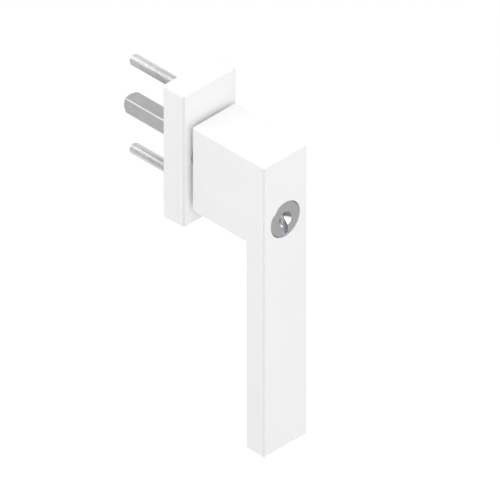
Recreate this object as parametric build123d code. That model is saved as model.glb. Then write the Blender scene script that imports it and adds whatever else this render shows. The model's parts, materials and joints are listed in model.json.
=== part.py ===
from build123d import *
import math
import os

# Window handle for a 7 mm square spindle, with a key lock in its neck.
# The origin is the centre of the rosette's back face, on the spindle axis.
# +Z is up and the room is at -Y, so a depth below is a distance in -Y from the sash face.

# Rosette: a base with a cap on it, both inside one tapered outline
rosette_width = 30.0
rosette_height = 64.4
rosette_draft = 2.0
rosette_corner_radius = 1.2
rosette_edge_radius = 0.8
base_depth = 8.0
cap_thickness = 3.0
cap_face = 1.4
cap_wall = 1.6
cap_clearance = 0.2
plateau_height = 1.4
plateau_corner_radius = 1.2
seam_chamfer = 0.1
base_wall = 1.7
base_web = 2.0
base_rib = 1.6
back_cover_thickness = 0.6
back_cover_clearance = 0.1
back_cover_margin = 1.5
back_cover_corner_radius = 2.0

# Clips that hold the cap on the base
clip_width = 4.0
clip_thickness = 1.2
clip_barb = 0.6
clip_barb_length = 1.2
clip_spacing = 16.0
clip_clearance = 0.3
cap_lift = 1.5

# Fixing screws
screw_spacing = 43.0
screw_diameter = 5.0
screw_neck_diameter = 4.4
screw_length = 40.0
screw_head_diameter = 9.2
screw_head_rim = 0.4
screw_head_recess = 1.6
screw_point_chamfer = 0.3
screw_clearance = 0.15
screw_boss_wall = 1.6
driver_slot_width = 1.1
driver_slot_length = 5.0
driver_slot_depth = 2.0

# Spindle
spindle_side = 7.0
spindle_projection = 34.5
spindle_socket = 27.0
spindle_end_radius = 2.7
spindle_edge_chamfer = 0.35
spindle_clearance = 0.05
spindle_pin_diameter = 3.0
spindle_pin_recess = 0.2
spindle_pin_depth = 9.0

# Lever
lever_width = 24.0
lever_gap = 2.0
neck_depth = 40.2
neck_top = 16.7
neck_bottom = 23.8
grip_bottom = 123.6
grip_thickness = 10.0
edge_radius = 0.5

# Spigot of the lever, and what turns with it or carries it
spigot_diameter = 14.0
spigot_end_diameter = 12.6
spigot_flats = 11.0
spigot_end_depth = 0.5
spigot_end_lip = 0.4
running_clearance = 0.05
bush_wall = 1.2
collar_diameter = 20.0
collar_height = 4.1
collar_flange_side = 21.6
collar_flange_corner_radius = 3.0
collar_flange_thickness = 1.8
collar_bore_clearance = 0.2
collar_side_clearance = 0.3
cam_side = 19.0
cam_corner_diameter = 23.2
cam_thickness = 2.6
washer_diameter = 21.6
washer_thickness = 0.48
stack_clearance = 0.07
circlip_thickness = 1.0
circlip_groove_depth = 0.4
circlip_width = 1.8
circlip_ear_radius = 1.5
circlip_eye_radius = 0.65
circlip_opening = 40.0

# Leaf springs of the 90 degree detent
spring_thickness = 0.6
spring_length = 26.0
spring_foot = 2.4
spring_travel = 3.0
spring_shoulder = 1.4

# Lock
lock_drop = 13.8
lock_head_diameter = 16.2
lock_head_thickness = 3.9
lock_head_chamfer = 0.5
lock_head_clearance = 0.1
plug_diameter = 15.0
locking_disc_diameter = 11.6
locking_disc_flat = 3.4
locking_disc_clearance = 0.15
locking_disc_pocket_clearance = 0.5
key_funnel_diameter = 6.9
key_funnel_floor = 2.0
key_funnel_depth = 2.8
key_entry_bottom = 6.8
key_entry_depth = 2.8
keyway_width = 2.8
keyway_top = 2.9
keyway_bottom = 4.8
keyway_depth = 20.0
ward_width = 1.3
ward_height = 4.7
wafer_count = 5
wafer_pitch = 2.6
wafer_first = 7.7
wafer_thickness = 1.1
wafer_width = 7.0
wafer_height = 13.0
wafer_clearance = 0.1
wafer_step = 0.25
wafer_corner_chamfer = 0.4
wafer_groove_depth = 0.6
retaining_pin_diameter = 3.0
retaining_pin_offset = 7.4
retaining_pin_length = 14.2
retaining_pin_depth = 24.0
key_turn = 90.0
key_turn_margin = 2.0

# Depths that follow from the sizes above
cap_front = base_depth + cap_thickness
cap_inside = cap_front - cap_face
plateau_front = base_depth + plateau_height
neck_back = cap_front + lever_gap
lever_front = neck_back + neck_depth
grip_back = lever_front - grip_thickness
collar_top = neck_back + collar_height
recess_floor = collar_top + stack_clearance
collar_seat = plateau_front - collar_flange_thickness
circlip_depth = spigot_end_depth + spigot_end_lip
cam_back = circlip_depth + circlip_thickness + stack_clearance
cam_front = cam_back + cam_thickness
washer_back = cam_front + stack_clearance
cavity_floor = washer_back + washer_thickness + stack_clearance
spring_bar_room = spring_thickness + 2 * stack_clearance
back_cover_height = spring_length + 2 * back_cover_margin
screw_top = plateau_front - screw_head_recess
head_back = lever_front - lock_head_thickness
plug_back = recess_floor + locking_disc_clearance
disc_back = neck_back + collar_side_clearance
bush_radius = spigot_diameter / 2 + running_clearance + bush_wall
plug_bore_radius = plug_diameter / 2 + running_clearance
screw_places = (screw_spacing / 2, -screw_spacing / 2)


def slab(sketch, near, far):
    """Sketch drawn in X and Z, as thick as the space between two depths."""
    return extrude(Plane.XZ.offset(near) * sketch, amount=far - near)


def rod(radius, near, far, x=0.0, z=0.0):
    """Round bar parallel to the spindle between two depths."""
    bottom = (Align.CENTER, Align.CENTER, Align.MIN)
    return Plane.XZ.offset(near) * Pos(x, z, 0) * Cylinder(radius, far - near, align=bottom)


def taper(near_radius, far_radius, near, far, x=0.0, z=0.0):
    """Cone parallel to the spindle between two depths."""
    bottom = (Align.CENTER, Align.CENTER, Align.MIN)
    return Plane.XZ.offset(near) * Pos(x, z, 0) * Cone(near_radius, far_radius, far - near, align=bottom)


def side_profile(points, width, x=0.0):
    """Outline in depth and height, extruded across X about the given place."""
    outline = Polyline([(-depth, height) for depth, height in points], close=True)
    return extrude(Plane.YZ.offset(x) * make_face(outline), amount=width / 2, both=True)


def drafted_inset(depth):
    """How far the rosette's draft has brought its sides in at a depth."""
    return depth * math.tan(math.radians(rosette_draft))


def rosette_block(near, far):
    """Tapered block with rounded corners: the rosette's outline between two depths."""
    inset = drafted_inset(near)
    outline = RectangleRounded(rosette_width - 2 * inset, rosette_height - 2 * inset, rosette_corner_radius - inset)
    return extrude(Plane.XZ.offset(near) * outline, amount=far - near, taper=rosette_draft)


def spring_cavity():
    """Room for the detent cam and its springs, with shoulders for the springs' ends."""
    outer_face = cam_side / 2 + spring_bar_room
    middle_height = spring_length - 2 * (spring_thickness + spring_shoulder)
    slot_place = (spring_length - spring_thickness) / 2
    room = Rectangle(2 * (outer_face + spring_travel), middle_height)
    room += Rectangle(2 * outer_face, spring_length + 2 * stack_clearance)
    for side in (1, -1):
        room += Pos(0, side * slot_place) * Rectangle(2 * (outer_face + spring_foot), spring_bar_room)
    return room


def rosette_base():
    body = rosette_block(0, base_depth)
    body = chamfer(body.faces().sort_by(Axis.Y)[0].edges(), seam_chamfer)
    body += slab(plateau_outline(0), base_depth, plateau_front)
    body -= slab(flange_outline(running_clearance), collar_seat, plateau_front)
    body -= rod(bush_radius + running_clearance, 0, plateau_front)
    body -= slab(spring_cavity(), 0, cavity_floor)
    body -= slab(back_cover_outline(0), 0, back_cover_thickness + back_cover_clearance)
    for z in screw_places:
        body -= end_pocket(z)
        body -= rod(screw_diameter / 2 + screw_clearance, 0, plateau_front, z=z)
        body -= screw_sink(z, screw_clearance)
    for z in (clip_place(), -clip_place()):
        for x in (clip_spacing / 2, -clip_spacing / 2):
            slot = Rectangle(clip_width + 2 * clip_clearance, clip_thickness + 2 * clip_clearance)
            body -= slab(Pos(x, z) * slot, 0, plateau_front)
    return body


def plateau_outline(clearance):
    """Raised island that the cap is pressed over, grown by a clearance."""
    inset = drafted_inset(base_depth) + cap_wall + cap_clearance - clearance
    return RectangleRounded(rosette_width - 2 * inset, rosette_height - 2 * inset, plateau_corner_radius)


def flange_outline(clearance):
    """Rounded square that keeps the collar from turning in the base, grown by a clearance."""
    side = collar_flange_side + 2 * clearance
    return RectangleRounded(side, side, collar_flange_corner_radius)


def back_cover_outline(clearance):
    """Plate over the spring cavity, made smaller by a clearance."""
    width = rosette_width - 2 * base_wall - 2 * clearance
    return RectangleRounded(width, back_cover_height - 2 * clearance, back_cover_corner_radius)


def pocket_end():
    """Height of the end pocket's far wall above the spindle axis."""
    return rosette_height / 2 - drafted_inset(base_depth) - base_wall


def clip_place():
    """Height of a clip's middle: its outer face stands off the pocket's wall by barb and clearance."""
    return pocket_end() - clip_barb - clip_clearance - clip_thickness / 2


def end_pocket(z):
    """Hollow behind one end of the base, round the boss of its screw."""
    side = math.copysign(1, z)
    start = back_cover_height / 2 + base_wall
    height = pocket_end() - start
    boss = screw_diameter / 2 + screw_clearance + screw_boss_wall
    room = Pos(0, side * (start + height / 2)) * Rectangle(rosette_width - 2 * base_wall, height)
    room -= Pos(0, z) * Circle(boss)
    room -= Pos(0, z) * Rectangle(rosette_width, base_rib)
    return slab(room, 0, base_depth - base_web)


def screw_sink(z, clearance):
    """Countersink with a straight bore above it, for the head of a fixing screw."""
    head = screw_head_diameter / 2 + clearance
    hole = screw_diameter / 2 + clearance
    rim = screw_top - screw_head_rim
    sink = taper(hole, head, rim - (head - hole), rim, z=z)
    return sink + rod(head, rim, plateau_front, z=z)


def rosette_cap():
    body = rosette_block(base_depth, cap_front)
    body = fillet(body.faces().sort_by(Axis.Y)[0].edges(), rosette_edge_radius)
    body = chamfer(body.faces().sort_by(Axis.Y)[-1].edges(), seam_chamfer)
    body -= slab(plateau_outline(cap_clearance), base_depth, cap_inside)
    body -= rod(collar_diameter / 2 + collar_side_clearance, base_depth, cap_front)
    outer = clip_place() + clip_thickness / 2
    inner = outer - clip_thickness
    barb_top = base_depth - base_web - cap_lift - clip_clearance
    tip = barb_top - clip_barb_length
    hook = [(cap_inside, inner), (tip, inner), (tip, outer), (barb_top, outer + clip_barb),
            (barb_top, outer), (cap_inside, outer)]
    for x in (clip_spacing / 2, -clip_spacing / 2):
        clip = side_profile(hook, clip_width, x)
        body += clip
        body += mirror(clip, about=Plane.XY)
    return body


def back_cover():
    plate = slab(back_cover_outline(back_cover_clearance), back_cover_clearance / 2, back_cover_thickness)
    return plate - rod(spigot_end_diameter / 2 + collar_side_clearance, 0, cavity_floor)


def fixing_screw(z):
    """Countersunk machine screw: a thread as far as the sash face, left as its outer diameter, and a neck."""
    head = screw_head_diameter / 2
    thread = screw_diameter / 2
    neck = screw_neck_diameter / 2
    point = screw_top - screw_length
    rim = screw_top - screw_head_rim
    cone = rim - (head - neck)
    body = taper(thread - screw_point_chamfer, thread, point, point + screw_point_chamfer, z=z)
    body += rod(thread, point + screw_point_chamfer, 0, z=z)
    body += rod(neck, 0, cone, z=z)
    body += taper(neck, head, cone, rim, z=z)
    body += rod(head, rim, screw_top, z=z)
    cross = Rectangle(driver_slot_length, driver_slot_width) + Rectangle(driver_slot_width, driver_slot_length)
    return body - slab(Pos(0, z) * cross, screw_top - driver_slot_depth, screw_top)


def detent_spring(side):
    """Leaf spring along one flat of the detent cam, with its ends bent outwards."""
    inner = cam_side / 2 + stack_clearance
    bar = Pos(side * (inner + spring_thickness / 2), 0) * Rectangle(spring_thickness, spring_length)
    foot_length = spring_thickness + spring_foot - stack_clearance
    for end in (1, -1):
        place = Pos(side * (inner + foot_length / 2), end * (spring_length - spring_thickness) / 2)
        bar += place * Rectangle(foot_length, spring_thickness)
    strip = slab(bar, cam_back, cam_front)
    outer_bends = [edge for edge in strip.edges().filter_by(Axis.Y)
                   if abs(abs(edge.center().X) - inner) < 0.01]
    return fillet(outer_bends, spring_thickness * 0.9)


def bearing_bush():
    bore = spigot_diameter / 2 + running_clearance
    return rod(bush_radius, cavity_floor, neck_back) - rod(bore, cavity_floor, neck_back)


def locking_collar():
    """Fixed collar whose four scallops take the lock's disc, one at each quarter turn."""
    body = slab(flange_outline(0), collar_seat, plateau_front)
    body += rod(collar_diameter / 2, plateau_front, collar_top)
    body -= rod(bush_radius + running_clearance, collar_seat, neck_back)
    body -= rod(spigot_diameter / 2 + collar_bore_clearance, collar_seat, collar_top)
    scallop = locking_disc_diameter / 2 + locking_disc_clearance
    for turn in range(4):
        angle = math.radians(90 * turn)
        place = {"x": lock_drop * math.cos(angle), "z": lock_drop * math.sin(angle)}
        body -= rod(scallop, neck_back, collar_top, **place)
    return body


def spigot_end(radius, half_flats, near, far):
    """Round end with two flats, at the given sizes."""
    shape = Circle(radius) & Rectangle(2 * half_flats, 2 * radius)
    return slab(shape, near, far)


def lever():
    outline = [(neck_back, neck_top), (lever_front, neck_top), (lever_front, -grip_bottom),
               (grip_back, -grip_bottom), (grip_back, -neck_bottom), (neck_back, -neck_bottom)]
    body = side_profile(outline, lever_width)
    body = fillet(body.edges(), edge_radius)
    body -= rod(collar_diameter / 2 + collar_side_clearance, neck_back, recess_floor)
    pocket = locking_disc_diameter / 2 + locking_disc_pocket_clearance
    body -= rod(pocket, neck_back, recess_floor, z=-lock_drop)
    body -= rod(plug_bore_radius, recess_floor, head_back, z=-lock_drop)
    head_bore = lock_head_diameter / 2 + lock_head_clearance
    body -= rod(head_bore, head_back - running_clearance, lever_front, z=-lock_drop)
    groove_top = plug_bore_radius + wafer_groove_depth - lock_drop
    groove = Pos(0, groove_top / 2 - lock_drop / 2) * Rectangle(
        wafer_width + 2 * wafer_clearance, groove_top + lock_drop)
    body -= slab(groove, head_back - keyway_depth, head_back)
    body += rod(spigot_diameter / 2, cam_front, recess_floor)
    body += spigot_end(spigot_end_diameter / 2, spigot_flats / 2, spigot_end_depth, cam_front)
    socket = spindle_side + 2 * spindle_clearance
    body -= slab(Rectangle(socket, socket), spigot_end_depth, spindle_socket + spindle_clearance)
    body -= spindle_cross_hole(spindle_pin_diameter / 2 + spindle_clearance)
    groove_radius = spigot_end_diameter / 2 - circlip_groove_depth
    ring = rod(spigot_diameter, circlip_depth, cam_back) - rod(groove_radius, circlip_depth, cam_back)
    body -= ring
    body -= retaining_bore(retaining_pin_diameter / 2 + running_clearance, neck_bottom - lock_drop)
    return body


def spindle_cross_hole(radius, length=spigot_diameter):
    """Bore or pin across the spigot, parallel to X."""
    return Pos(0, -spindle_pin_depth, 0) * Rot(0, 90, 0) * Cylinder(radius, length)


def retaining_bore(radius, below):
    """Bore or pin beside the plug, parallel to Z, that reaches below the lock's axis."""
    top = retaining_pin_length - (neck_bottom - lock_drop)
    height = top + below
    place = Pos(retaining_pin_offset, -retaining_pin_depth, -lock_drop + top - height / 2)
    return place * Cylinder(radius, height)


def spindle():
    """Square bar with a turned end; a cone cuts its corners back further than its flats."""
    corner = spindle_side / math.sqrt(2)
    tip = -spindle_projection
    bar = slab(Rectangle(spindle_side, spindle_side), tip, spindle_socket)
    bar = chamfer(bar.edges().filter_by(Axis.Y), spindle_edge_chamfer)
    slope = corner - spindle_end_radius
    turned = taper(spindle_end_radius, corner, tip, tip + slope)
    turned += rod(corner, tip + slope, spindle_socket)
    bar = bar & turned
    return bar - spindle_cross_hole(spindle_pin_diameter / 2 + spindle_clearance)


def spindle_pin():
    return spindle_cross_hole(spindle_pin_diameter / 2, spigot_diameter - 2 * spindle_pin_recess)


def detent_cam():
    """Square cam with turned corners; its hole fits the flats of the spigot's end."""
    body = slab(Rectangle(cam_side, cam_side) & Circle(cam_corner_diameter / 2), cam_back, cam_front)
    hole_radius = spigot_end_diameter / 2 + running_clearance
    return body - spigot_end(hole_radius, spigot_flats / 2 + running_clearance, cam_back, cam_front)


def thrust_washer():
    far = washer_back + washer_thickness
    bore = spigot_diameter / 2 + running_clearance
    return rod(washer_diameter / 2, washer_back, far) - rod(bore, washer_back, far)


def circlip():
    """Open retaining ring with an eyed ear at each end."""
    inner = spigot_end_diameter / 2 - circlip_groove_depth + running_clearance
    outer = inner + circlip_width
    reach = 2 * outer
    half = math.radians(circlip_opening / 2)
    wedge = make_face(Polyline([(0, 0), (reach * math.sin(half), -reach), (-reach * math.sin(half), -reach)],
                               close=True))
    shape = Circle(outer) - Circle(inner) - wedge
    ear_place = (inner + outer) / 2
    for side in (1, -1):
        angle = half + circlip_ear_radius / ear_place
        ear = Pos(side * ear_place * math.sin(angle), -ear_place * math.cos(angle))
        shape += ear * Circle(circlip_ear_radius)
        shape -= ear * Circle(circlip_eye_radius)
    shape -= Circle(inner)
    near = circlip_depth + stack_clearance / 2
    return slab(shape, near, near + circlip_thickness)


def lock_plug():
    """Turning plug: head with keyhole, wafer slots, stop groove and the locking disc."""
    radius = plug_diameter / 2
    body = rod(radius, plug_back, head_back, z=-lock_drop)
    head_edge = lever_front - lock_head_chamfer
    head_radius = lock_head_diameter / 2
    body += rod(head_radius, head_back, head_edge, z=-lock_drop)
    body += taper(head_radius, head_radius - lock_head_chamfer, head_edge, lever_front, z=-lock_drop)
    body += locking_disc()
    body -= keyhole()
    for depth in wafer_depths():
        half = wafer_thickness / 2 + wafer_clearance
        slot = Pos(0, -lock_drop) * Rectangle(wafer_width + 2 * wafer_clearance, plug_diameter)
        body -= slab(slot, depth - half, depth + half)
    return body - stop_groove()


def locking_disc():
    radius = locking_disc_diameter / 2
    cut = Pos(0, locking_disc_flat + radius) * Rectangle(2 * radius, 2 * radius)
    return slab(Pos(0, -lock_drop) * (Circle(radius) - cut), disc_back, plug_back)


def keyhole():
    """Funnel, wide entry and, behind them, the keyway with its ward, a rib that only the right key passes."""
    funnel = taper(key_funnel_floor / 2, key_funnel_diameter / 2, lever_front - key_funnel_depth, lever_front,
                   z=-lock_drop)
    entry = keyway(key_entry_bottom, lever_front - key_entry_depth, lever_front)
    ward = Pos((keyway_width - ward_width) / 2, ward_height / 2 - keyway_bottom - lock_drop)
    ward *= Rectangle(ward_width, ward_height)
    ward = slab(ward, lever_front - keyway_depth, lever_front - key_entry_depth)
    return funnel + entry + keyway(keyway_bottom, lever_front - keyway_depth, lever_front) - ward


def keyway(bottom, near, far):
    height = keyway_top + bottom
    middle = keyway_top - height / 2 - lock_drop
    return slab(Pos(0, middle) * Rectangle(keyway_width, height), near, far)


def wafer_depths():
    return [lever_front - wafer_first - index * wafer_pitch for index in range(wafer_count)]


def stop_groove():
    """Arc in the plug that the retaining pin lies in; its ends stop the key's quarter turn."""
    half_width = retaining_pin_diameter / 2 + 2 * running_clearance
    floor = retaining_pin_offset - half_width
    chord = math.degrees(math.acos(floor / (plug_diameter / 2))) + key_turn_margin
    fan = [(0, 0)]
    steps = 5
    for step in range(steps + 1):
        angle = math.radians(-chord + (key_turn + 2 * chord) * step / steps)
        fan.append((plug_diameter * math.cos(angle), plug_diameter * math.sin(angle)))
    ring = Circle(plug_diameter / 2 + running_clearance) - Circle(floor)
    sector = ring & make_face(Polyline(fan, close=True))
    return slab(Pos(0, -lock_drop) * sector, retaining_pin_depth - half_width, retaining_pin_depth + half_width)


def wafer(index):
    """Plate with a window for the key, drawn level with the plug's surface as the key holds it."""
    offset = wafer_step * (index % 3 - 1)
    window_height = keyway_top + keyway_bottom + 4 * wafer_clearance
    window_middle = (keyway_top - keyway_bottom) / 2 + offset
    plate = Rectangle(wafer_width, wafer_height)
    plate = chamfer(plate.vertices(), wafer_corner_chamfer)
    window = Pos(0, window_middle) * Rectangle(keyway_width + 2 * wafer_clearance, window_height)
    depth = wafer_depths()[index]
    return slab(Pos(0, -lock_drop) * (plate - window), depth - wafer_thickness / 2, depth + wafer_thickness / 2)


def retaining_pin():
    return retaining_bore(retaining_pin_diameter / 2, neck_bottom - lock_drop - edge_radius)


parts = {
    "rosette_base": rosette_base(),
    "rosette_cap": rosette_cap(),
    "back_cover": back_cover(),
    "fixing_screw_upper": fixing_screw(screw_places[0]),
    "fixing_screw_lower": fixing_screw(screw_places[1]),
    "detent_spring_left": detent_spring(-1),
    "detent_spring_right": detent_spring(1),
    "bearing_bush": bearing_bush(),
    "locking_collar": locking_collar(),
    "lever": lever(),
    "spindle": spindle(),
    "spindle_pin": spindle_pin(),
    "detent_cam": detent_cam(),
    "thrust_washer": thrust_washer(),
    "circlip": circlip(),
    "lock_plug": lock_plug(),
    "retaining_pin": retaining_pin(),
}
for index in range(wafer_count):
    parts[f"wafer_{index + 1}"] = wafer(index)

os.makedirs("parts", exist_ok=True)
for name, shape in parts.items():
    export_step(shape, f"parts/{name}.step")
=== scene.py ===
import json
import math
import bmesh
import bpy
from mathutils import Matrix, Vector


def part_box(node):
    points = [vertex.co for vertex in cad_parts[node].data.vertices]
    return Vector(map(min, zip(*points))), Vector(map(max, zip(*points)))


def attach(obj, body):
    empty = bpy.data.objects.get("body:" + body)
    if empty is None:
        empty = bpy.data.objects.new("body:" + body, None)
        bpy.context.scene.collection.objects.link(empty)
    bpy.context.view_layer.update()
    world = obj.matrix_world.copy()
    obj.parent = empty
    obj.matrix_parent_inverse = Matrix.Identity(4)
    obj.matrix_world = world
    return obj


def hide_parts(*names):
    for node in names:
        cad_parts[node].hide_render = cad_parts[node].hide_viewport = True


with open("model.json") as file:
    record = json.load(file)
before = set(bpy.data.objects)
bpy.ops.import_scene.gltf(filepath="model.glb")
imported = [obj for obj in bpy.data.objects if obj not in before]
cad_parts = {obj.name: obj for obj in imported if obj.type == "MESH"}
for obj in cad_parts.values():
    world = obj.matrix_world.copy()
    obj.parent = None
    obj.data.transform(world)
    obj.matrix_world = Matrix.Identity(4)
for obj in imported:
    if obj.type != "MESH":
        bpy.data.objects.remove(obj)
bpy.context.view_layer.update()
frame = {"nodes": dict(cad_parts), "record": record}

MM = 0.001

# The picture: a true isometric view, 500 pixels wide, at 2.525 pixels a millimetre
picture_pixels = 500
pixels_per_mm = 2.525
view_direction = Vector((1, 1, -1)).normalized()
picture_centre = Vector((-1.74, -35.12, -36.86)) * MM
camera_distance = 600 * MM

# Light of the surroundings and of the floor, where a strength of 1 is white
world_light = 0.58
floor_glow = 0.3

# Pale floor, with its side and its height in metres
floor_colour = (0.86, 0.86, 0.86)
floor_roughness = 0.8
floor_size = 6
floor_level = -0.45

# Soft square lamps: their distance, the direction each stands in, its side in metres and its power in watts
lamp_distance = 0.9
lamps = {
    "key_lamp": {"direction": (-1, -1, 1), "size": 0.7, "power": 3.8},
    "top_lamp": {"direction": (0.1, 0.1, 1), "size": 0.7, "power": 1.8},
    "back_left_lamp": {"direction": (-0.55, 0.85, 0.95), "size": 0.45, "power": 1.6},
    "front_lamp": {"direction": (-0.2, -1, 0.2), "size": 0.5, "power": 1.0},
    "right_lamp": {"direction": (1, -0.1, 0.3), "size": 0.5, "power": 1.0},
}

# The lock's axis and face, the reach of the keyhole in it, and how far the painted shade on the roof of the
# key's funnel runs down one side
lock_low, lock_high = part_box("lock_plug")
lock_axis = Vector(((lock_low.x + lock_high.x) / 2, 0, (lock_low.z + lock_high.z) / 2))
lock_face = lock_low.y
keyhole_reach = 7.2 * MM
keyhole_rim = 0.05 * MM
keyhole_roof_lean = 0.36

# Fixing screws, whose threads start at the sash face. The outline is one pitch of the thread, as places along
# it and heights as a share of the thread's depth. The run-out is in turns.
thread_outline = ((0.0, 0.0), (0.12, 0.0), (0.44, 1.0), (0.56, 1.0), (0.88, 0.0))
thread_pitch = 0.8 * MM
thread_depth = 0.43 * MM
thread_radius = 2.5 * MM
thread_segments = 40
thread_runout = 0.2
screw_neck_radius = 2.2 * MM
screw_point_chamfer = 0.3 * MM
screw_point_length = 0.15 * MM
screw_head_rim = 0.4 * MM
driver_slot_width = 1.1 * MM
driver_slot_length = 5.0 * MM
driver_slot_depth = 2.0 * MM
driver_slot_taper = 0.7
sharp_angle = math.radians(35)


def node_of(tree, kind, **settings):
    """Shader node with the given settings."""
    node = tree.nodes.new(kind)
    for name, value in settings.items():
        setattr(node, name, value)
    return node


def noise_of(tree, size, stretch=(1.0, 1.0, 1.0), detail=3.0):
    """Noise whose lumps are about as large as size, in metres, drawn out along an axis by a small stretch."""
    place = node_of(tree, "ShaderNodeTexCoord")
    mapping = node_of(tree, "ShaderNodeMapping")
    mapping.inputs["Scale"].default_value = stretch
    noise = node_of(tree, "ShaderNodeTexNoise")
    noise.inputs["Scale"].default_value = 1 / size
    noise.inputs["Detail"].default_value = detail
    tree.links.new(place.outputs["Object"], mapping.inputs["Vector"])
    tree.links.new(mapping.outputs["Vector"], noise.inputs["Vector"])
    return noise.outputs["Fac"]


def spread(tree, value, low, high, start=0.3, end=0.7):
    """The value, which mostly lies from start to end, spread over low to high."""
    ramp = node_of(tree, "ShaderNodeMapRange")
    ramp.inputs["From Min"].default_value = start
    ramp.inputs["From Max"].default_value = end
    ramp.inputs["To Min"].default_value = low
    ramp.inputs["To Max"].default_value = high
    tree.links.new(value, ramp.inputs["Value"])
    return ramp.outputs["Result"]


def between(tree, value, first, second):
    """Mix of two colours or outputs, the first where the value is 0 and the second where it is 1."""
    mix = node_of(tree, "ShaderNodeMix", data_type="RGBA")
    for name, colour in (("A", first), ("B", second)):
        if isinstance(colour, tuple):
            mix.inputs[name].default_value = (*colour, 1)
        else:
            tree.links.new(colour, mix.inputs[name])
    tree.links.new(value, mix.inputs["Factor"])
    return mix.outputs["Result"]


def facing(tree, direction):
    """How far the surface faces a direction, in the part's own frame."""
    place = node_of(tree, "ShaderNodeTexCoord")
    dot = node_of(tree, "ShaderNodeVectorMath", operation="DOT_PRODUCT")
    dot.inputs[1].default_value = direction
    tree.links.new(place.outputs["Normal"], dot.inputs[0])
    return dot.outputs["Value"]


def product(tree, first, second):
    """Product of two outputs."""
    both = node_of(tree, "ShaderNodeMath", operation="MULTIPLY")
    tree.links.new(first, both.inputs[0])
    tree.links.new(second, both.inputs[1])
    return both.outputs["Value"]


def between_sides(tree):
    """0 where the surface faces along X or Y, and up to 0.5 either way where it faces between them."""
    return product(tree, facing(tree, (1, 0, 0)), facing(tree, (0, 1, 0)))


def off_edge_shade(tree):
    """1 on flat faces, falling to 0 in the middle of an upright rounded edge, where the painted shade lies.
    """
    amount = node_of(tree, "ShaderNodeMath", operation="ABSOLUTE")
    tree.links.new(between_sides(tree), amount.inputs[0])
    return spread(tree, amount.outputs["Value"], 1, 0, start=0.05, end=0.35)


def bumped(tree, heights, edge_radius):
    """Normal with softened edges and, on top, bumps given as (value, depth in metres) pairs."""
    bevel = node_of(tree, "ShaderNodeBevel", samples=6)
    bevel.inputs["Radius"].default_value = edge_radius
    normal = bevel.outputs["Normal"]
    for value, depth in heights:
        bump = node_of(tree, "ShaderNodeBump")
        bump.inputs["Distance"].default_value = depth
        tree.links.new(value, bump.inputs["Height"])
        tree.links.new(normal, bump.inputs["Normal"])
        normal = bump.outputs["Normal"]
    return normal


def material_of(name):
    """New material with its node tree and its shader."""
    material = bpy.data.materials.new(name)
    material.use_nodes = True
    tree = material.node_tree
    return material, tree, tree.nodes["Principled BSDF"]


def white_coat():
    """Satin powder coat: a fine orange peel, uneven colour and gloss, and a painted shade on its upright
    edges.
    """
    material, tree, shader = material_of("white_coat")
    # edge is painted shade: a darker grey laid on upright rounded edges, standing in for the shade the lamps
    # leave there
    cool, warm, edge = (0.850, 0.852, 0.856), (0.868, 0.868, 0.868), (0.69, 0.69, 0.693)
    cloudy = noise_of(tree, size=14 * MM)
    peel = noise_of(tree, size=0.9 * MM, detail=2.0)
    grain = noise_of(tree, size=0.12 * MM, detail=1.0)
    peel_depth, grain_depth = 0.012 * MM, 0.002 * MM
    coat = between(tree, spread(tree, cloudy, 0, 1), cool, warm)
    edge_shaded_coat = between(tree, off_edge_shade(tree), edge, coat)
    normal = bumped(tree, [(peel, peel_depth), (grain, grain_depth)], edge_radius=0.12 * MM)
    tree.links.new(edge_shaded_coat, shader.inputs["Base Color"])
    tree.links.new(spread(tree, peel, low=0.34, high=0.46), shader.inputs["Roughness"])
    tree.links.new(normal, shader.inputs["Normal"])
    return material


def finish_of(name, dark, light, roughness, marks, depth, edge_radius=0.12 * MM, patches=6 * MM,
              metallic=1.0):
    """Finish whose colour varies in patches, and whose marks change its gloss and are raised by a depth."""
    material, tree, shader = material_of(name)
    shader.inputs["Metallic"].default_value = metallic
    height = marks(tree)
    colour = between(tree, spread(tree, noise_of(tree, size=patches), 0, 1), dark, light)
    tree.links.new(colour, shader.inputs["Base Color"])
    tree.links.new(spread(tree, height, *roughness), shader.inputs["Roughness"])
    tree.links.new(bumped(tree, [(height, depth)], edge_radius), shader.inputs["Normal"])
    return material, tree, shader


def from_lock_axis(tree):
    """Distance from the lock's axis."""
    place = node_of(tree, "ShaderNodeTexCoord")
    offset = node_of(tree, "ShaderNodeVectorMath", operation="SUBTRACT")
    offset.inputs[1].default_value = lock_axis
    flat = node_of(tree, "ShaderNodeVectorMath", operation="MULTIPLY")
    flat.inputs[1].default_value = (1, 0, 1)
    length = node_of(tree, "ShaderNodeVectorMath", operation="LENGTH")
    tree.links.new(place.outputs["Object"], offset.inputs[0])
    tree.links.new(offset.outputs["Vector"], flat.inputs[0])
    tree.links.new(flat.outputs["Vector"], length.inputs[0])
    return length.outputs["Value"]


def turned_marks(tree):
    """Fine rings round the lock's axis, as a lathe leaves them."""
    ring_spacing = 0.16 * MM
    rings = node_of(tree, "ShaderNodeTexNoise", noise_dimensions="1D")
    rings.inputs["Scale"].default_value = 1 / ring_spacing
    rings.inputs["Detail"].default_value = 2.0
    tree.links.new(from_lock_axis(tree), rings.inputs["W"])
    return rings.outputs["Fac"]


def in_keyhole(tree):
    """1 below the lock's face near its axis, and 0 elsewhere."""
    place = node_of(tree, "ShaderNodeTexCoord")
    split = node_of(tree, "ShaderNodeSeparateXYZ")
    below = node_of(tree, "ShaderNodeMath", operation="GREATER_THAN")
    below.inputs[1].default_value = lock_face + keyhole_rim
    near = node_of(tree, "ShaderNodeMath", operation="LESS_THAN")
    near.inputs[1].default_value = keyhole_reach
    tree.links.new(place.outputs["Object"], split.inputs["Vector"])
    tree.links.new(split.outputs["Y"], below.inputs[0])
    tree.links.new(from_lock_axis(tree), near.inputs[0])
    return product(tree, below.outputs["Value"], near.outputs["Value"])


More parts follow.
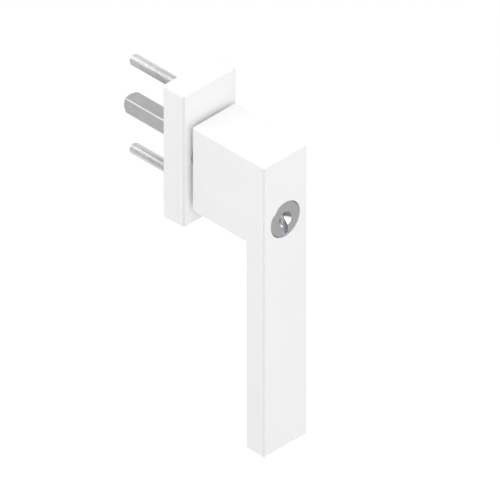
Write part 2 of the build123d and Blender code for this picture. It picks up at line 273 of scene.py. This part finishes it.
def keyhole_colour(tree):
    """Colour of the keyhole's walls: painted shade on the funnel's roof, a painted highlight on its floor and
    grey between.
    """
    # The roof colour is painted shade and the floor colour a painted highlight, chosen by which way the walls
    # face
    painted_roof_shade, sides, floor = (0.19, 0.19, 0.195), (0.65, 0.655, 0.69), (0.95, 0.95, 0.96)
    upward = facing(tree, (0, 0, 1))
    lean = node_of(tree, "ShaderNodeMath", operation="MULTIPLY_ADD")
    lean.inputs[1].default_value = -keyhole_roof_lean
    tree.links.new(between_sides(tree), lean.inputs[0])
    tree.links.new(upward, lean.inputs[2])
    off_roof_shade = spread(tree, lean.outputs["Value"], 0, 1, start=-0.08, end=-0.02)
    on_floor_highlight = spread(tree, product(tree, facing(tree, (0, -1, 0)), upward), 0, 1, start=0.05, end=0.15)
    return between(tree, on_floor_highlight, between(tree, off_roof_shade, painted_roof_shade, sides), floor)


def lock_nickel():
    """Satin nickel with fine turned rings, and broached metal in the keyhole with painted shade and a painted
    highlight.
    """
    material, tree, shader = finish_of("lock_nickel", dark=(0.34, 0.34, 0.34), light=(0.37, 0.37, 0.37),
                                       roughness=(0.24, 0.36), marks=turned_marks, depth=0.0012 * MM,
                                       edge_radius=0.2 * MM)
    face = shader.inputs["Base Color"].links[0].from_socket
    tree.links.new(between(tree, in_keyhole(tree), face, keyhole_colour(tree)), shader.inputs["Base Color"])
    return material


def drawn_marks(tree):
    """Long fine streaks along the spindle, as the drawing die leaves them."""
    return noise_of(tree, size=0.12 * MM, stretch=(1.0, 0.02, 1.0), detail=4.0)


def rolled_marks(tree):
    """Short streaks of rolled sheet."""
    return noise_of(tree, size=0.3 * MM, stretch=(1.0, 1.0, 0.15), detail=4.0)


def cast_marks(tree):
    """Fine pebbled skin of a die casting."""
    return noise_of(tree, size=0.35 * MM, detail=5.0)


def plated_marks(tree):
    """Very fine grain of zinc plating."""
    return noise_of(tree, size=0.1 * MM, detail=2.0)


def eroded_marks(tree):
    """Fine matt texture that a spark-eroded mould leaves."""
    return noise_of(tree, size=0.25 * MM, detail=4.0)


def moulded_marks(tree):
    """Smoother texture of a polished mould."""
    return noise_of(tree, size=0.3 * MM)


def bush_plastic():
    """Natural acetal, a little translucent."""
    material, tree, shader = finish_of("bush_plastic", dark=(0.78, 0.78, 0.75), light=(0.82, 0.82, 0.80),
                                       roughness=(0.3, 0.4), marks=moulded_marks, depth=0.004 * MM,
                                       edge_radius=0.1 * MM, patches=0.3 * MM, metallic=0.0)
    shader.inputs["Subsurface Weight"].default_value = 0.1
    shader.inputs["Subsurface Scale"].default_value = 1 * MM
    return material


def make_materials():
    """Every finish, under its slot's name."""
    plain = {
        "base_plastic": {"dark": (0.845, 0.846, 0.845), "light": (0.866, 0.866, 0.862),
                         "roughness": (0.44, 0.58), "marks": eroded_marks, "depth": 0.008 * MM,
                         "patches": 9 * MM, "metallic": 0.0},
        "spindle_steel": {"dark": (0.40, 0.40, 0.405), "light": (0.45, 0.45, 0.455),
                          "roughness": (0.26, 0.42), "marks": drawn_marks, "depth": 0.003 * MM,
                          "edge_radius": 0.25 * MM},
        "screw_steel": {"dark": (0.60, 0.60, 0.61), "light": (0.69, 0.69, 0.70), "roughness": (0.30, 0.42),
                        "marks": plated_marks, "depth": 0.001 * MM, "edge_radius": 0.04 * MM},
        "spring_steel": {"dark": (0.30, 0.31, 0.34), "light": (0.38, 0.39, 0.41), "roughness": (0.22, 0.36),
                         "marks": rolled_marks, "depth": 0.001 * MM, "edge_radius": 0.1 * MM},
        "galvanised_sheet": {"dark": (0.46, 0.47, 0.48), "light": (0.58, 0.59, 0.60), "roughness": (0.3, 0.5),
                             "marks": rolled_marks, "depth": 0.002 * MM, "edge_radius": 0.1 * MM,
                             "patches": 2.5 * MM},
        "collar_zinc": {"dark": (0.34, 0.34, 0.35), "light": (0.40, 0.40, 0.41), "roughness": (0.42, 0.58),
                        "marks": cast_marks, "depth": 0.01 * MM},
        "wafer_brass": {"dark": (0.68, 0.50, 0.22), "light": (0.76, 0.58, 0.29), "roughness": (0.25, 0.4),
                        "marks": rolled_marks, "depth": 0.001 * MM, "edge_radius": 0.1 * MM},
    }
    finishes = {name: finish_of(name, **settings)[0] for name, settings in plain.items()}
    finishes["white_coat"] = white_coat()
    finishes["bush_plastic"] = bush_plastic()
    finishes["lock_nickel"] = lock_nickel()
    return finishes


def point_on_screw(mesh, step, radius, y):
    """Vertex on a screw about the Y axis, at a step round it."""
    angle = 2 * math.pi * step / thread_segments
    return mesh.verts.new((radius * math.sin(angle), y, radius * math.cos(angle)))


def ring_of(mesh, radius, y):
    """Circle of vertices round the Y axis."""
    return [point_on_screw(mesh, step, radius, y) for step in range(thread_segments)]


def join_rings(mesh, first, second):
    """Quads between two rings."""
    for step in range(thread_segments):
        following = (step + 1) % thread_segments
        mesh.faces.new((first[step], first[following], second[following], second[step]))


def add_thread(mesh, start_ring, end_ring, start, end, tip):
    """Ridge that winds from one ring to another, with a run-out at each end and a chamfer at the tip."""
    core = thread_radius - thread_depth
    around = thread_segments
    total = int(((end - start) / thread_pitch - 1) * around)
    rungs = []
    for step in range(total + 1):
        ease = min(1.0, step / around / thread_runout, (total - step) / around / thread_runout)
        rung = []
        for along, height in thread_outline:
            y = start + thread_pitch * (step / around + along)
            most = thread_radius - screw_point_chamfer + tip - y
            rung.append(point_on_screw(mesh, step, min(core + thread_depth * height * ease, most), y))
        rungs.append(rung)
    for step in range(total):
        here, following = rungs[step], rungs[step + 1]
        for place in range(len(thread_outline) - 1):
            mesh.faces.new((here[place], following[place], following[place + 1], here[place + 1]))
        if step + around < total:
            mesh.faces.new((here[-1], following[-1], rungs[step + 1 + around][0], rungs[step + around][0]))
    for step in range(around - 1):
        mesh.faces.new((start_ring[step], start_ring[step + 1], rungs[step + 1][0], rungs[step][0]))
    mesh.faces.new((start_ring[-1], start_ring[0], *rungs[0], rungs[around][0], rungs[around - 1][0]))
    for step in range(total - around, total):
        ring_ends = (end_ring[(step + 1) % around], end_ring[step % around])
        if step == total - around:
            mesh.faces.new((rungs[step][-1], rungs[step + 1][-1], *ring_ends, *reversed(rungs[total])))
        else:
            mesh.faces.new((rungs[step][-1], rungs[step + 1][-1], *ring_ends))


def finish_mesh(mesh, name):
    """Object from a built mesh, smooth apart from its sharp edges."""
    bmesh.ops.recalc_face_normals(mesh, faces=mesh.faces)
    for face in mesh.faces:
        face.smooth = True
    for edge in mesh.edges:
        edge.smooth = edge.calc_face_angle(0) < sharp_angle
    data = bpy.data.meshes.new(name)
    mesh.to_mesh(data)
    mesh.free()
    piece = bpy.data.objects.new(name, data)
    bpy.context.scene.collection.objects.link(piece)
    return piece


def make_driver_cross(top):
    """Tapered cross that cuts the driver's slots into a screw's head."""
    mesh = bmesh.new()
    arm, half = driver_slot_length / 2, driver_slot_width / 2
    outline = [(arm, half), (half, half), (half, arm), (-half, arm), (-half, half), (-arm, half),
               (-arm, -half), (-half, -half), (-half, -arm), (half, -arm), (half, -half), (arm, -half)]
    above = [mesh.verts.new((x, top - screw_head_rim, z)) for x, z in outline]
    below = [mesh.verts.new((x * driver_slot_taper, top + driver_slot_depth, z * driver_slot_taper))
             for x, z in outline]
    mesh.faces.new(above)
    mesh.faces.new(below)
    for place in range(len(outline)):
        mesh.faces.new((above[place - 1], above[place], below[place], below[place - 1]))
    return finish_mesh(mesh, "driver_cross")


def cut_out(piece, cutter):
    """Takes the cutter's shape out of a piece and deletes the cutter."""
    cut = piece.modifiers.new("cut", "BOOLEAN")
    cut.object = cutter
    cut.solver = "EXACT"
    shape = bpy.data.meshes.new_from_object(piece.evaluated_get(bpy.context.evaluated_depsgraph_get()))
    piece.modifiers.clear()
    piece.data = shape
    bpy.data.objects.remove(cutter)


def make_screw(node):
    """Countersunk machine screw with a cut thread, in the place of its CAD node."""
    low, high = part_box(node)
    top, tip = low.y, high.y
    head_radius = (high.x - low.x) / 2
    core = thread_radius - thread_depth
    cone_end = top + screw_head_rim + head_radius - screw_neck_radius
    mesh = bmesh.new()
    start_ring = ring_of(mesh, core, 0)
    end_ring = ring_of(mesh, core, tip - screw_point_length)
    head = [ring_of(mesh, radius, y) for radius, y in (
        (head_radius, top), (head_radius, top + screw_head_rim), (screw_neck_radius, cone_end),
        (screw_neck_radius, -thread_depth))]
    for first, second in zip(head, head[1:] + [start_ring]):
        join_rings(mesh, first, second)
    point = ring_of(mesh, core - screw_point_length, tip)
    join_rings(mesh, end_ring, point)
    mesh.faces.new(head[0])
    mesh.faces.new(point)
    add_thread(mesh, start_ring, end_ring, 0, tip - screw_point_length, tip)
    screw = finish_mesh(mesh, node + "_threaded")
    cut_out(screw, make_driver_cross(top))
    screw.data.transform(Matrix.Translation(((low.x + high.x) / 2, 0, (low.z + high.z) / 2)))
    screw.data.materials.clear()
    screw.data.materials.append(materials["screw_steel"])
    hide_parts(node)
    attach(screw, "rosette")


def dress(nodes):
    """Gives each CAD node the finish of its slot."""
    slots = {row["node"]: row["material_slot"] for row in frame["record"]["subparts"]}
    for name, piece in nodes.items():
        for place in piece.material_slots:
            place.material = materials[slots[name]]


def seen_plainly(tree):
    """1 for what the camera sees, also mirrored or through glass, and 0 for light that falls on things."""
    path = node_of(tree, "ShaderNodeLightPath")
    seen = path.outputs["Is Camera Ray"]
    for kind in ("Is Glossy Ray", "Is Transmission Ray"):
        either = node_of(tree, "ShaderNodeMath", operation="MAXIMUM")
        tree.links.new(seen, either.inputs[0])
        tree.links.new(path.outputs[kind], either.inputs[1])
        seen = either.outputs["Value"]
    return seen


def make_floor():
    """Pale floor far below, which stays white to the camera and still takes the shadow."""
    bpy.ops.mesh.primitive_plane_add(size=floor_size, location=(0, 0, floor_level))
    floor = bpy.context.object
    floor.name = "floor"
    material, tree, shader = material_of("floor")
    shader.inputs["Base Color"].default_value = (*floor_colour, 1)
    shader.inputs["Roughness"].default_value = floor_roughness
    glow = node_of(tree, "ShaderNodeMath", operation="MULTIPLY")
    glow.inputs[1].default_value = floor_glow
    tree.links.new(seen_plainly(tree), glow.inputs[0])
    shader.inputs["Emission Color"].default_value = (1, 1, 1, 1)
    tree.links.new(glow.outputs["Value"], shader.inputs["Emission Strength"])
    floor.data.materials.append(material)


def make_world():
    """Even white surroundings: a little dimmer as light than as background."""
    world = bpy.data.worlds.new("studio")
    bpy.context.scene.world = world
    world.use_nodes = True
    tree = world.node_tree
    background = tree.nodes["Background"]
    background.inputs["Color"].default_value = (1, 1, 1, 1)
    level = node_of(tree, "ShaderNodeMapRange")
    level.inputs["To Min"].default_value = world_light
    level.inputs["To Max"].default_value = 1.0
    tree.links.new(seen_plainly(tree), level.inputs["Value"])
    tree.links.new(level.outputs["Result"], background.inputs["Strength"])


def make_lamp(name, direction, size, power):
    """Soft square lamp that stands off in a direction and faces the object."""
    light = bpy.data.lights.new(name, "AREA")
    light.size = size
    light.energy = power
    lamp = bpy.data.objects.new(name, light)
    away = Vector(direction).normalized()
    lamp.location = picture_centre + away * lamp_distance
    lamp.rotation_mode = "QUATERNION"
    lamp.rotation_quaternion = (-away).to_track_quat("-Z", "Y")
    bpy.context.scene.collection.objects.link(lamp)


def make_camera():
    """Camera without perspective, along the photo's direction and at its scale."""
    camera = bpy.data.cameras.new("camera")
    camera.type = "ORTHO"
    camera.ortho_scale = picture_pixels / pixels_per_mm * MM
    holder = bpy.data.objects.new("camera", camera)
    holder.location = picture_centre - view_direction * camera_distance
    holder.rotation_mode = "QUATERNION"
    holder.rotation_quaternion = view_direction.to_track_quat("-Z", "Y")
    bpy.context.scene.collection.objects.link(holder)
    bpy.context.scene.camera = holder


materials = make_materials()
dress(frame["nodes"])
make_floor()
make_world()
for lamp_name, lamp_settings in lamps.items():
    make_lamp(lamp_name, **lamp_settings)
make_camera()
bpy.context.scene.view_settings.view_transform = "Standard"

for screw_node in ("fixing_screw_upper", "fixing_screw_lower"):
    make_screw(screw_node)
